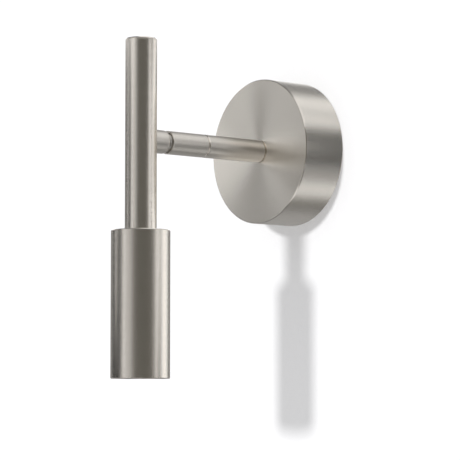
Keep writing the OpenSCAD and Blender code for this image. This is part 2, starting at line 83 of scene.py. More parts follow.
# Corner of a turned outline: distance from the axis, place along it and, if rounded, fillet radius
Corner = tuple[float, ...]


# Colours, nodes and objects

def linear(code: str) -> Colour:
    """Turns an sRGB hex colour into the linear RGBA that a shader takes.

    Args:
        code: Six hex digits with a leading hash.

    Returns:
        Linear red, green and blue, and an alpha of 1.
    """
    channels = [int(code[i : i + 2], 16) / 255 for i in (1, 3, 5)]
    red, green, blue = [c / 12.92 if c <= 0.04045 else ((c + 0.055) / 1.055) ** 2.4 for c in channels]
    return red, green, blue, 1.0


@dataclass(frozen=True)
class Nodes:
    """Shader node tree that is being built."""

    tree: NodeTree

    def node(self, kind: str, inputs: Inputs | None = None, **settings: Any) -> Node:
        """Adds one node.

        Args:
            kind: Type of shader node, such as TexNoise.
            inputs: By input socket, its fixed value or the output socket that feeds it.
            settings: Properties of the node itself.

        Returns:
            The new node.
        """
        made = self.tree.nodes.new("ShaderNode" + kind)
        for key, value in settings.items():
            setattr(made, key, value)
        for key, value in (inputs or {}).items():
            if isinstance(value, NodeSocket):
                self.tree.links.new(value, made.inputs[key])
            else:
                made.inputs[key].default_value = value
        return made

    def add(self, kind: str, inputs: Inputs | None = None, **settings: Any) -> NodeSocket:
        """Adds one node in the same way and returns its first output."""
        return self.node(kind, inputs, **settings).outputs[0]

    def here(self) -> NodeSocket:
        """The object's own coordinates, in metres."""
        return self.node("TexCoord").outputs["Object"]

    def grain(self, size_mm: float, detail: float = 3.0) -> NodeSocket:
        """Fine noise of a real size, about 0.5 on average."""
        scale = 1 / (size_mm * MM)
        return self.add("TexNoise", {"Vector": self.here(), "Scale": scale, "Detail": detail})

    def ranged(self, noise: NodeSocket, low: float, high: float) -> NodeSocket:
        """Maps noise from its usual span to the span from low to high."""
        return self.add("MapRange", {0: noise, 1: NOISE_LOW, 2: NOISE_HIGH, 3: low, 4: high})

    def varied(self, noise: NodeSocket, value: float, share: float) -> NodeSocket:
        """Varies a value with noise, by a share of it to either side."""
        return self.ranged(noise, value * (1 - share), value * (1 + share))

    def blended(self, noise: NodeSocket, first: Colour, second: Colour, most: float = 1) -> NodeSocket:
        """Mixes two colours with noise, up to a share of the second."""
        colours = {0: self.ranged(noise, 0.0, most), MIX_FIRST: first, MIX_SECOND: second}
        return self.node("Mix", colours, data_type="RGBA").outputs[MIX_RESULT]

    def bumped(self, height: NodeSocket, depth_mm: float, strength: float = 0.3) -> NodeSocket:
        """Turns a pattern from 0 to 1, of a real depth, into a normal."""
        return self.add("Bump", {"Height": height, "Distance": depth_mm * MM, "Strength": strength})


def add_object(name: str, data: ID) -> Object:
    """Adds an object with its mesh, camera or light to the scene."""
    made = bpy.data.objects.new(name, data)
    bpy.context.scene.collection.objects.link(made)
    return made


# Finishes

class Lay(Enum):
    """Axis that a turned finish runs round: its letter, the two axes across it and its number."""

    ARM = ("Y", 0, 2, 1)
    STEM = ("Z", 0, 1, 2)


@dataclass(frozen=True)
class Finish:
    """A surface finish. Subclasses say what the real surface is and give its look."""

    name: str

    def material(self) -> Material:
        """Returns the finish's material and makes it on first use."""
        known = bpy.data.materials.get(self.name)
        if known is not None:
            return known
        made = bpy.data.materials.new(self.name)
        made.use_nodes = True
        made.node_tree.nodes.clear()
        nodes = Nodes(made.node_tree)
        nodes.node("OutputMaterial", {"Surface": self.surface(nodes)})
        return made

    def surface(self, nodes: Nodes) -> NodeSocket:
        """Builds the finish's shader in the material's node tree."""
        raise NotImplementedError


@dataclass(frozen=True)
class TurnedMetal(Finish):
    """Metal turned or brushed on a lathe: fine lines run round the axis and blur along it."""

    colour: str
    lay: Lay
    axis_y: float = 0.0
    roughness: float = 0.26
    spread: float = 0.75
    # Lathe lines are about 0.05 mm wide, drawn wider so that they show as a faint lay
    line_mm: float = 1.1
    # Length over which one line fades, as a share of a full turn
    line_turn: float = 0.2
    # Share by which the metal darkens and dulls in a line
    line_depth: float = 0.02

    def lines(self, nodes: Nodes) -> NodeSocket:
        """Noise that is long round the axis and short across it.

        The direction from the axis and the distance along and out from it are the noise's
        coordinates, so that the pattern closes round the axis without a seam.

        Args:
            nodes: Node tree of the material.

        Returns:
            The noise's factor.
        """
        _, first, second, along = self.lay.value
        axis = (0.0, self.axis_y, 0.0)
        centred = nodes.add("VectorMath", {0: nodes.here(), 1: axis}, operation="SUBTRACT")
        parts = nodes.node("SeparateXYZ", {0: centred}).outputs
        flat = nodes.add("CombineXYZ", {0: parts[first], 1: parts[second]})
        reach = nodes.node("VectorMath", {0: flat}, operation="LENGTH").outputs[1]
        aim = nodes.add("VectorMath", {0: flat}, operation="NORMALIZE")
        across = nodes.add("Math", {0: reach, 1: parts[along]}, operation="ADD")
        lines = nodes.add("Math", {0: across, 1: 1 / (self.line_mm * MM)}, operation="MULTIPLY")
        stretch = 1 / (math.tau * self.line_turn)
        slow = nodes.add("VectorMath", {0: aim, "Scale": stretch}, operation="SCALE")
        aims = nodes.node("SeparateXYZ", {0: slow}).outputs
        place = nodes.add("CombineXYZ", {0: aims[0], 1: aims[1], 2: lines})
        return nodes.add("TexNoise", {"Vector": place, "Scale": 1.0, "Detail": 2.0})

    def surface(self, nodes: Nodes) -> NodeSocket:
        """Metal that blurs across its lathe lines more than along them."""
        lines = self.lines(nodes)
        colour = linear(self.colour)
        shaded = (*[channel * (1 - self.line_depth) for channel in colour[:3]], 1.0)
        return nodes.add("BsdfPrincipled", {
            "Metallic": 1.0, "Anisotropic": self.spread,
            "Base Color": nodes.blended(lines, shaded, colour),
            "Tangent": nodes.add("Tangent", direction_type="RADIAL", axis=self.lay.value[0]),
            "Roughness": nodes.varied(lines, self.roughness, -self.line_depth),
        })


@dataclass(frozen=True)
class PlatedSteel(Finish):
    """Rolled or pressed metal, plain or with a thin plating: a sheen and a tint in faint clouds."""

    colour: str
    drift: str
    roughness: float = 0.36
    cloud_mm: float = 6.0
    # Share by which the sheen varies
    uneven: float = 0.2

    def surface(self, nodes: Nodes) -> NodeSocket:
        """Metal whose tint and sheen vary slowly, with a fine rolled skin."""
        clouds = nodes.grain(self.cloud_mm)
        return nodes.add("BsdfPrincipled", {
            "Metallic": 1.0, "Base Color": nodes.blended(clouds, linear(self.colour), linear(self.drift)),
            "Roughness": nodes.varied(clouds, self.roughness, self.uneven),
            "Normal": nodes.bumped(nodes.grain(size_mm=0.5, detail=2.0), depth_mm=0.01, strength=0.2),
        })


@dataclass(frozen=True)
class Moulded(Finish):
    """Moulded plastic or rubber: a fine eroded skin, matt to glossy by its roughness."""

    colour: str
    roughness: float
    scatter: float = 0.0

    def surface(self, nodes: Nodes) -> NodeSocket:
        """Plastic with an even colour, an uneven sheen and the tool's fine grain."""
        return nodes.add("BsdfPrincipled", {
            "Base Color": linear(self.colour), "IOR": 1.5,
            "Subsurface Weight": self.scatter, "Subsurface Scale": MM,
            "Roughness": nodes.varied(nodes.grain(size_mm=6.0), self.roughness, share=0.1),
            "Normal": nodes.bumped(nodes.grain(size_mm=0.3, detail=2.0), depth_mm=0.02),
        })


@dataclass(frozen=True)
class Steatite(Finish):
    """Pressed and fired steatite, unglazed: chalky, with fine specks and soft grain."""

    body: str
    speck: str

    def surface(self, nodes: Nodes) -> NodeSocket:
        """Chalky ceramic whose colour drifts between body and speck."""
        specks = nodes.grain(size_mm=0.6, detail=4.0)
        return nodes.add("BsdfPrincipled", {
            "Roughness": 0.72, "IOR": 1.6, "Normal": nodes.bumped(specks, depth_mm=0.05),
            "Base Color": nodes.blended(specks, linear(self.body), linear(self.speck), most=0.4),
        })


@dataclass(frozen=True)
class PressedGlass(Finish):
    """Clear pressed glass: smooth, with the faint waviness of the mould."""

    tint: str

    def surface(self, nodes: Nodes) -> NodeSocket:
        """Clear glass with a slow ripple."""
        return nodes.add("BsdfPrincipled", {
            "Base Color": linear(self.tint), "IOR": 1.5, "Roughness": 0.03, "Transmission Weight": 1.0,
            "Normal": nodes.bumped(nodes.grain(size_mm=3.0, detail=1.0), depth_mm=0.02),
        })


@dataclass(frozen=True)
class Phosphor(Finish):
    """Yellow phosphor gel over a light-emitting chip, switched off: soft and slightly grainy."""

    colour: str

    def surface(self, nodes: Nodes) -> NodeSocket:
        """Soft yellow gel."""
        powder = nodes.grain(size_mm=0.2, detail=2.0)
        return nodes.add("BsdfPrincipled", {
            "Base Color": linear(self.colour), "IOR": 1.45, "Subsurface Weight": 0.3,
            "Subsurface Scale": MM, "Roughness": nodes.ranged(powder, low=0.25, high=0.45),
            "Normal": nodes.bumped(powder, depth_mm=0.02),
        })


# Distance of the stem's axis from the wall
STEM_AT = 137.5 * MM

# Satin nickel: brushed on a lathe and plated, so warm grey with soft bands along the tubes
NICKEL = "#e3ddd5"
NICKEL_STEM = TurnedMetal("satin_nickel_stem", NICKEL, Lay.STEM, axis_y=-STEM_AT)
# The arm is brushed more softly. Its colour is painted a little less warm than the nickel, to cancel the
# warm tint that its reflection of the canopy brings: a painted correction of reflected light
NICKEL_ARM = TurnedMetal("satin_nickel_arm", "#e1dcd5", Lay.ARM, roughness=0.38, spread=0.5)
# The canopy's wide flat face is brushed a little finer than the tubes. Its paler colour is painted light:
# a brighter copy of the same nickel, so that the face shows as more brightly lit
NICKEL_CANOPY_PAINTED_BRIGHT = TurnedMetal("satin_nickel_canopy_painted_bright", "#ece7df", Lay.ARM, roughness=0.25, spread=0.85)
# The chamfers are cut after brushing, so they are smoother and glint or go dark as fine lines
CUT_ARM = TurnedMetal("cut_nickel_edge_arm", NICKEL, Lay.ARM, roughness=0.14, spread=0.3)
CUT_STEM = TurnedMetal("cut_nickel_edge_stem", NICKEL, Lay.STEM, -STEM_AT, roughness=0.14, spread=0.3)
# Free-cutting steel as turned: neutral grey with fine rings
TURNED_STEEL = TurnedMetal("turned_steel", "#c4c2be", Lay.ARM, roughness=0.3, spread=0.4)
# Zinc with a clear passivation: even cool grey that drifts a trace towards straw
ZINC = PlatedSteel("bright_zinc_plate", "#cbcdcf", "#cfcecb", cloud_mm=10.0, uneven=0.05)
# Nickel over cold-headed steel: a little darker and smoother than the brushed tubes
SCREW_NICKEL = PlatedSteel("nickel_plated_screw_steel", "#bdb7ac", "#aea89e", roughness=0.3)
# Brass bar as turned, with the first dull patches
BRASS = PlatedSteel("turned_brass", "#dcbc6c", "#c9a75c", roughness=0.28)
# Sintered bronze: dull, with the pores between its grains
BRONZE = PlatedSteel("sintered_bronze", "#a5804f", "#866339", roughness=0.5, cloud_mm=0.5)
# Aluminium vapour on moulded plastic: almost a mirror
MIRROR = PlatedSteel("vapour_coated_aluminium", "#e9eaec", "#e2e4e8", roughness=0.12)
# Black polycarbonate with an eroded tool skin: matt, so that the baffle swallows stray light
BAFFLE_BLACK = Moulded("black_moulded_baffle", "#161616", 0.5)
# Moulded rubber: dull and soft-edged
RUBBER = Moulded("black_rubber", "#1d1d1d", 0.75)
# Natural polyamide: milky, half matt
POLYAMIDE = Moulded("white_polyamide", "#e6e5e0", 0.5, scatter=0.1)
# Polished moulded lamp housing: white with a clear sheen
LAMP_WHITE = Moulded("white_lamp_housing", "#ecebe8", 0.3)
# Extruded silicone: milky and dull
SILICONE = Moulded("silicone_cable_sheath", "#e4e2dc", 0.55, scatter=0.1)
# Steatite as fired: chalky cream with fine specks
STEATITE = Steatite("fired_steatite", "#efe9dc", "#d8cfbb")
# Soda-lime glass as pressed: clear, with a slow ripple
GLASS = PressedGlass("clear_pressed_glass", "#f4f8f8")
# Phosphor in silicone gel: warm yellow when switched off
PHOSPHOR = Phosphor("yellow_phosphor", "#e8c23a")

NODE_FINISHES: dict[Finish, Sequence[str]] = {
    ZINC: ("mounting_plate", "clamp_screws", "block_screw", "earth_washer", "canopy_nipple",
           "canopy_washer", "canopy_nut", "saddle_washer", "stem_nut", "head_nipple", "head_washer",
           "head_nut", "holder_bracket", "holder_screws"),
    TURNED_STEEL: ("stop_pin", "swivel_spindle", "disc_spring", "slotted_nuts", "lamp_pins"),
    BRASS: ("earth_screw", "arm_base_plug", "arm_joiner", "stem_base_plug", "holder_contacts"),
    BRONZE: ("swivel_bush",),
    RUBBER: ("cable_grommet",),
    POLYAMIDE: ("terminal_block", "friction_washer"),
    SILICONE: ("arm_cable", "stem_cable"),
    STEATITE: ("lamp_holder",),
}


def dress_nodes() -> None:
    """Gives each CAD node that stays its finish."""
    for finish, nodes in NODE_FINISHES.items():
        for name in nodes:
            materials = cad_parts[name].data.materials
            materials.clear()
            materials.append(finish.material())


# Surfaces

@dataclass(frozen=True)
class Patch:
    """Grid of points in rows and columns, each way open or closed, with the cells that are kept."""

    points: np.ndarray
    close_rows: bool = False
    close_columns: bool = True
    kept: np.ndarray | None = None

    def faces(self, first: int = 0) -> np.ndarray:
        """Corner numbers of the kept cells.

        Args:
            first: Number of the grid's first point in the whole mesh.

        Returns:
            Four point numbers per cell.
        """
        rows, columns = self.points.shape[:2]
        numbers = first + np.arange(rows * columns).reshape(rows, columns)
        if self.close_rows:
            numbers = np.vstack([numbers, numbers[:1]])
        if self.close_columns:
            numbers = np.hstack([numbers, numbers[:, :1]])
        cells = np.stack([numbers[:-1, :-1], numbers[1:, :-1], numbers[1:, 1:], numbers[:-1, 1:]], -1)
        return cells.reshape(-1, 4) if self.kept is None else cells[self.kept]


def round_angles(count: int) -> np.ndarray:
    """Equal angles once round an axis."""
    return np.arange(count) * math.tau / count


def outline(corners: Sequence[Corner], closed: bool = True, steps: int = 6) -> np.ndarray:
    """Points of a turned outline, with a fillet at each corner that asks for one.

    A fillet of radius r, between edges that enclose twice the angle beta, touches both edges at
    r / tan(beta) from the corner and turns about a centre at r / sin(beta) on their bisector.
    A support point stands just outside both its ends.

    Args:
        corners: Corners in order.
        closed: Whether the last corner joins the first.
        steps: Straight steps in one fillet.

    Returns:
        Rows of distance from the axis and place along it.
    """
    rows = np.array([(*corner, 0.0)[:3] for corner in corners])
    spots, rounding = rows[:, :2], rows[:, 2]
    ahead = np.roll(spots, -1, axis=0) - spots
    length = np.linalg.norm(ahead, axis=1)
    ahead = ahead / length[:, None]
    back = -np.roll(ahead, 1, axis=0)
    beta = np.arccos(np.clip((ahead * back).sum(1), -1, 1)) / 2
    if not closed:
        rounding[[0, -1]] = 0
    reach = np.where(rounding > 0, rounding / np.tan(beta), 0)
    spare = (length - reach - np.roll(reach, -1)) / 3
    part = np.linspace(0, 1, steps + 1)[:, None]
    found = []
    for i, here in enumerate(spots):
        if rounding[i] <= 0:
            found.append(here[None])
            continue
        bisector = (ahead[i] + back[i]) / np.linalg.norm(ahead[i] + back[i])
        centre = here + bisector * rounding[i] / math.sin(beta[i])
        start = here + back[i] * reach[i] - centre
        stop = here + ahead[i] * reach[i] - centre
        turn = math.pi - 2 * beta[i]
        arc = centre + (np.sin((1 - part) * turn) * start + np.sin(part * turn) * stop) / math.sin(turn)
        before = here + back[i] * (reach[i] + min(SUPPORT, spare[i - 1]))
        after = here + ahead[i] * (reach[i] + min(SUPPORT, spare[i]))
        found += [before[None], arc, after[None]]
    return np.concatenate(found)


def turned(points: np.ndarray, segments: int, closed: bool = True) -> Patch:
    """Turns an outline about its axis: each point becomes a ring (rho cos t, rho sin t, height).

    Args:
        points: Rows of distance from the axis and place along it.
        segments: Points in one ring.
        closed: Whether the outline's last point joins its first.

    Returns:
        The surface, one ring to a row.
    """
    angle = round_angles(segments)
    rho, height = points[:, :1], points[:, 1:]
    rings = np.stack([rho * np.cos(angle), rho * np.sin(angle), height + 0 * angle], axis=-1)
    return Patch(rings, close_rows=closed)


@dataclass(frozen=True)
class WallHole:
    """Round hole square through the wall of a turned tube, in a square block of its grid."""

    turn: float
    height: float
    radius: float
    block: float
    cells: int
    # Radii of the tube's two walls, and points in one of its rings
    outer: float
    inner: float
    columns: int
    edge: float = 0.15 * MM
    edge_steps: int = 3
    sheet_steps: int = 4

    def stations(self) -> np.ndarray:
        """Places along the axis where the tube's outline needs points for the block."""
        return self.height + np.linspace(-self.block, self.block, self.cells + 1)

    def lost(self, tube: np.ndarray) -> np.ndarray:
        """Marks the cells of the tube that lie in the block on either wall.

        Args:
            tube: Grid of the tube's points, with rings at the stations.

        Returns:
            True for each such cell, by ring and column.
        """
        column, half = round(self.turn / math.tau * self.columns), self.cells // 2
        taken = np.arange(column - half, column + half) % self.columns
        rho = np.linalg.norm(tube[:, 0, :2], axis=1)
        inside = np.abs(tube[:, 0, 2] - self.height) < self.block + MERGE
        marked = np.zeros(tube.shape[:2], bool)
        for radius in (self.outer, self.inner):
            band = np.flatnonzero(inside & (np.abs(rho - radius) < MERGE))
            marked[np.ix_(band[np.isin(band + 1, band)], taken)] = True
        return marked

    def sheet(self, rim: np.ndarray, wall: float, hole: float) -> tuple[np.ndarray, np.ndarray]:
        """Rings on one wall that run straight, in its own angle and height, from rim to hole.

        Args:
            rim: Angle and height of the points on the block's rim.
            wall: Radius of the wall.
            hole: Radius of the hole on it.

        Returns:
            The rings, and the direction from the hole's middle in which each column lies.
        """
        facing = np.arctan2(rim[:, 1], wall * np.sin(rim[:, 0]))
        goal = np.stack([np.arcsin(hole * np.cos(facing) / wall), hole * np.sin(facing)], 1)
        part = np.linspace(0, 1, self.sheet_steps + 1)[:, None, None]
        flat = rim + part * (goal - rim)
        angle = self.turn + flat[..., 0]
        rings = np.stack([wall * np.cos(angle), wall * np.sin(angle), self.height + flat[..., 1]], -1)
        return rings, facing

    def lining(self) -> Patch:
        """Surface that takes the blocks' place and lines the hole.

        Returns:
            Rings of equal count: the block's rim on the outer wall, the round edge, the bore and
            the block's rim on the inner wall.
        """
        side = np.linspace(-1, 1, self.cells + 1)[:-1]
        one = np.ones_like(side)
        square = np.concatenate([np.stack(pair, 1) for pair in
                                 ((side, -one), (one, side), (-side, one), (-one, -side))])
        rim = square * np.array([self.cells // 2 * math.tau / self.columns, self.block])
        outside, facing = self.sheet(rim, self.outer, self.radius + self.edge)
        inside, _ = self.sheet(rim, self.inner, self.radius)
        bend = np.linspace(0, math.pi / 2, self.edge_steps + 1)[1:, None]
        wide = self.radius + self.edge * (1 - np.sin(bend))
        across = wide * np.cos(facing)
        out = np.sqrt(self.outer**2 - across**2) - self.edge * (1 - np.cos(bend))
        cos, sin = math.cos(self.turn), math.sin(self.turn)
        lip = np.stack([out * cos - across * sin, out * sin + across * cos,
                        self.height + wide * np.sin(facing)], -1)
        return Patch(np.concatenate([outside, lip, inside[::-1]]))


def pierced(corners: Sequence[Corner], holes: Sequence[WallHole]) -> list[Patch]:
    """Turns a tube and cuts round holes through its wall.

    Args:
        corners: Corners of its outline, with the holes' stations on both walls.
        holes: The holes.

    Returns:
        The tube without the holes' blocks, and each hole's lining.
    """
    tube = turned(outline(corners), holes[0].columns).points
    kept = ~np.any([hole.lost(tube) for hole in holes], axis=0)
    return [Patch(tube, close_rows=True, kept=kept), *[hole.lining() for hole in holes]]


def from_wall(points: np.ndarray) -> np.ndarray:
    """Places points about the arm's axis: height is the distance from the wall."""
    return np.stack([points[..., 0], -points[..., 2], points[..., 1]], -1)


def on_stem(points: np.ndarray) -> np.ndarray:
    """Places points about the stem's axis: height is above the arm's axis."""
    return points + np.array([0.0, -STEM_AT, 0.0])


# Pieces

def weld(mesh: Mesh, join_flat: bool = False) -> None:
    """Joins a mesh's equal points.

    Args:
        mesh: The mesh.
        join_flat: Whether its triangles in one plane become one face.
    """
    work = bmesh.new()
    work.from_mesh(mesh)
    bmesh.ops.remove_doubles(work, verts=work.verts, dist=MERGE)
    if join_flat:
        bmesh.ops.dissolve_limit(work, angle_limit=FLAT, verts=work.verts, edges=work.edges)
    work.to_mesh(mesh)
    work.free()


@dataclass(frozen=True)
class Piece:
    """Visible piece: its body, material slot and finish, the CAD node it stands for, its place."""

    name: str
    body: str
    slot: str
    finish: Finish
    node: str | None = None
    # Puts points about an axis of their own into the part's frame
    place: Callable[[np.ndarray], np.ndarray] = np.asarray
    # Finish of its cut edges, where they differ
    trim: TurnedMetal | None = None
    flat: bool = False

    def build(self, *patches: Patch) -> None:
        """Makes the piece of surfaces that close it between them.

        Args:
            patches: Surfaces that meet at equal points.
        """
        starts = np.cumsum([0] + [p.points.shape[0] * p.points.shape[1] for p in patches])
        points = self.place(np.concatenate([p.points.reshape(-1, 3) for p in patches]))
        faces = np.concatenate([p.faces(start) for p, start in zip(patches, starts)])
        corners = points[faces] - points.mean(0)
        halves = np.concatenate([corners[:, [0, 1, 2]], corners[:, [0, 2, 3]]])
        volume = np.einsum("ij,ij->i", halves[:, 0], np.cross(halves[:, 1], halves[:, 2])).sum()
        if volume < 0:
            faces = faces[:, ::-1]
        mesh = bpy.data.meshes.new(self.name)
        mesh.from_pydata(points.tolist(), [], faces.tolist())
        weld(mesh)
        self.hang(mesh)

    def turn(self, corners: Sequence[Corner], segments: int) -> None:
        """Makes the piece by turning one outline, which is a ring or else ends on the axis."""
        closed = corners[0][0] > 0
        self.build(turned(outline(corners, closed), segments, closed))

    def soften(self, width: float) -> None:
        """Makes the piece of its CAD node's mesh, with a small bevel on the sharp edges.

        Args:
            width: Width of the bevel.
        """
        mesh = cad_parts[self.node].data.copy()
        mesh.name = self.name
        weld(mesh, join_flat=True)
        bevel = self.hang(mesh).modifiers.new("edge", "BEVEL")
        bevel.width = width
        bevel.segments = 2
        bevel.limit_method = "ANGLE"
        bevel.angle_limit = SHARP
        bevel.harden_normals = True

    def hang(self, mesh: Mesh) -> Object:
        """Finishes the piece's mesh and makes it ride on its body.

        Args:
            mesh: The mesh, in the part's frame.

        Returns:
            The piece.
        """
        mesh.polygons.foreach_set("use_smooth", [not self.flat] * len(mesh.polygons))
        if not self.flat:
            mesh.set_sharp_from_angle(angle=SHARP)
        mesh.materials.clear()
        mesh.materials.append(self.finish.material())
        if self.trim is not None:
            # The cut edges slant between the wall and the ends
            along = self.trim.lay.value[-1]
            slanted = [FLAT_WALL < abs(face.normal[along]) < FLAT_END for face in mesh.polygons]
            mesh.materials.append(self.trim.material())
            mesh.polygons.foreach_set("material_index", slanted)
        piece = add_object(self.name, mesh)
        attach(piece, self.body)
        if self.node is not None:
            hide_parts(self.node)
        log.info("%s on %s: %d faces", self.name, self.body, len(mesh.polygons))
        return piece


# Sub-assemblies

def span(node: str) -> tuple[float, float]:
    """Distances from the wall at which a CAD node begins and ends."""
    low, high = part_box(node)
    return -high.y, -low.y


@dataclass
class Canopy:
    """Round canopy with its two grub screws, screwed over the mounting plate."""

    wall: float = 1.6 * MM
    face: float = 2.4 * MM
    chamfer: float = 0.6 * MM
    edge: float = 0.12 * MM
    nipple_hole: float = 5.2 * MM
    plate_edge: float = 0.2 * MM
    grommet_edge: float = 0.25 * MM
    screw_height: float = 8.0 * MM
    screw_hole: float = 2.2 * MM
    screw_radius: float = 2.0 * MM
    screw_length: float = 6.6 * MM
    screw_bevel: float = 0.35 * MM
    socket: float = 1.0 * MM
    socket_depth: float = 2.0 * MM
    # Countersink of the socket's mouth
    sink_width: float = 0.08 * MM
    sink_depth: float = 0.12 * MM
    hole_block: float = 5.0 * MM
    hole_cells: int = 8
    segments: int = 256
    screw_segments: int = 96

    def cover(self) -> None:
        """Drawn cover: side wall, flat face with a fine chamfer, and the two screw holes."""
        low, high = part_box("canopy_cover")
        radius, depth = high.x, -low.y
        inside, under = radius - self.wall, depth - self.face
        holes = [WallHole(turn, self.screw_height, self.screw_hole, self.hole_block, self.hole_cells,
                          radius, inside, self.segments) for turn in (math.pi / 2, 3 * math.pi / 2)]
        stations = holes[0].stations()
        corners = [
            (self.nipple_hole, depth, self.edge), (radius - self.chamfer, depth, 2 * self.edge),
            (radius, depth - self.chamfer, 2 * self.edge),
            *[(radius, height) for height in stations[::-1]], (radius, 0.0, self.edge),
            (inside, 0.0, self.edge), *[(inside, height) for height in stations],
            (inside, under, 4 * self.edge), (self.nipple_hole, under, self.edge),
        ]
        # The shell wears the paler copy of the nickel, whose extra brightness is painted light
        Piece("canopy_shell", WALL_SIDE, "satin_nickel", NICKEL_CANOPY_PAINTED_BRIGHT, "canopy_cover",
              from_wall, CUT_ARM).build(*pierced(corners, holes))

    def grub_screws(self) -> None:
        """Two grub screws with hexagon sockets.

        The socket's rings follow a hexagon, whose radius at angle t from a corner is the distance
        of its flats over the cosine of the angle to the nearest flat's middle.
        """
        angle = round_angles(self.screw_segments)
        half_side = math.tau / 12
        hexagon = self.socket / np.cos((angle + half_side) % (2 * half_side) - half_side)
        mouth = self.socket / math.cos(half_side) + self.sink_width
        wide, length = self.screw_radius, self.screw_length
        narrow = wide - self.screw_bevel
        floor = length - self.socket_depth
        # Radius of each ring's circle, share of the hexagon in it, and its place along the screw
        rings = np.array([
            (0.0, 0, 0.0), (narrow, 0, 0.0), (wide, 0, self.screw_bevel),
            (wide, 0, length - self.screw_bevel), (narrow, 0, length), (mouth, 0, length),
            (0.0, 1, length - self.sink_depth), (0.0, 1, floor), (0.0, 0, floor - self.socket / 2),
        ])
        rho = rings[:, :1] + rings[:, 1:2] * hexagon
        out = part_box("cover_screws")[1].z - length + (rings[:, 2:] + 0 * angle)
        across, along = rho * np.cos(angle), rho * np.sin(angle) - self.screw_height
        screws = [Patch(np.stack([side * across, along, side * out], -1)) for side in (1, -1)]
        Piece("grub_screws", WALL_SIDE, "plain_steel", SCREW_NICKEL, "cover_screws").build(*screws)

    def build(self) -> None:
        """Builds the canopy."""
        self.cover()
        self.grub_screws()
        Piece("mounting_plate_softened", WALL_SIDE, "zinc_steel", ZINC,
              "mounting_plate").soften(self.plate_edge)
        Piece("cable_grommet_softened", WALL_SIDE, "black_rubber", RUBBER,
              "cable_grommet").soften(self.grommet_edge)


@dataclass
class Arm:
    """Arm tube, swivel barrel and the collar that is cut to the stem."""

    wall: float = 1.5 * MM
    seam_round: float = 0.8 * MM
    foot_round: float = 1.3 * MM
    groove_edge: float = 0.2 * MM
    chamber_depth: float = 5.6 * MM
    counterbore: float = 6.8 * MM
    counterbore_depth: float = 3.0 * MM
    bore: float = 5.6 * MM
    collar_round: float = 2.4 * MM
    # Length of the collar's front with its support rings, in fillet radii
    collar_front: float = 2.6
    collar_bore: float = 4.05 * MM
    collar_lip: float = 0.2 * MM
    stem_radius: float = 10.775 * MM
    segments: int = 160
    collar_steps: int = 10
    side_rings: int = 4
    saddle_rings: int = 8
    bore_rings: int = 3

    def tube(self) -> None:
        """Plain tube from the canopy to the seam, with a fine round at each rim."""
        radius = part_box("arm_tube")[1].x
        start, stop = span("arm_tube")
        Piece("arm_sleeve", WALL_SIDE, "satin_nickel", NICKEL_ARM, "arm_tube", from_wall, CUT_ARM).turn([
            (radius - self.wall, start, DEBURR), (radius, start, self.foot_round),
            (radius, stop, self.seam_round), (radius - self.wall, stop, DEBURR),
        ], self.segments)

    def barrel(self) -> None:
        """Barrel from the seam to the groove, with its counterbore round the spindle's neck."""
        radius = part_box("swivel_barrel")[1].x
        start, stop = span("swivel_barrel")
        floor, web = stop - self.counterbore_depth, start + self.chamber_depth
        Piece("swivel_sleeve", WALL_SIDE, "satin_nickel", NICKEL_ARM, "swivel_barrel",
              from_wall, CUT_ARM).turn([
            (radius - self.wall, start, DEBURR), (radius, start, self.seam_round),
            (radius, stop, self.groove_edge), (self.counterbore, stop, DEBURR),
            (self.counterbore, floor), (self.bore, floor),
            (self.bore, web), (radius - self.wall, web),
        ], self.segments)

    def collar(self) -> None:
        """Collar with a rounded rim at the groove and a saddle at the stem.

        A point of the saddle at distance rho and angle t from the arm's axis lies where the stem's
        round meets it: the stem's axis less the root of its radius squared minus (rho cos t) squared.
        """
        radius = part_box("arm_tube")[1].x
        start, _ = span("swivel_collar")
        front = outline([
            (self.collar_bore, start, DEBURR), (radius, start, self.collar_round),
            (radius, start + self.collar_front * self.collar_round),
        ], closed=False, steps=self.collar_steps)[:, :, None]
        angle = round_angles(self.segments)
        rho = np.linspace(radius, self.collar_bore, self.saddle_rings)[:, None]
        saddle = STEM_AT - np.sqrt(self.stem_radius**2 - (rho * np.cos(angle)) ** 2)
        side = np.linspace(front[-1, 1], saddle[0], self.side_rings + 2)[1:-1]
        back = np.linspace(saddle[-1], start + self.collar_lip, self.bore_rings + 2)[1:-1]
        reach = np.concatenate([front[:, 0] + 0 * angle, radius + 0 * side, rho + 0 * angle,
                                self.collar_bore + 0 * back])
        height = np.concatenate([front[:, 1] + 0 * angle, side, saddle, back])
        grid = np.stack([reach * np.cos(angle), reach * np.sin(angle), height], -1)
        Piece("stem_collar", LAMP_SIDE, "satin_nickel", NICKEL_ARM, "swivel_collar",
              from_wall).build(Patch(grid, close_rows=True))

    def build(self) -> None:
        """Builds the arm."""
        self.tube()
        self.barrel()
        self.collar()


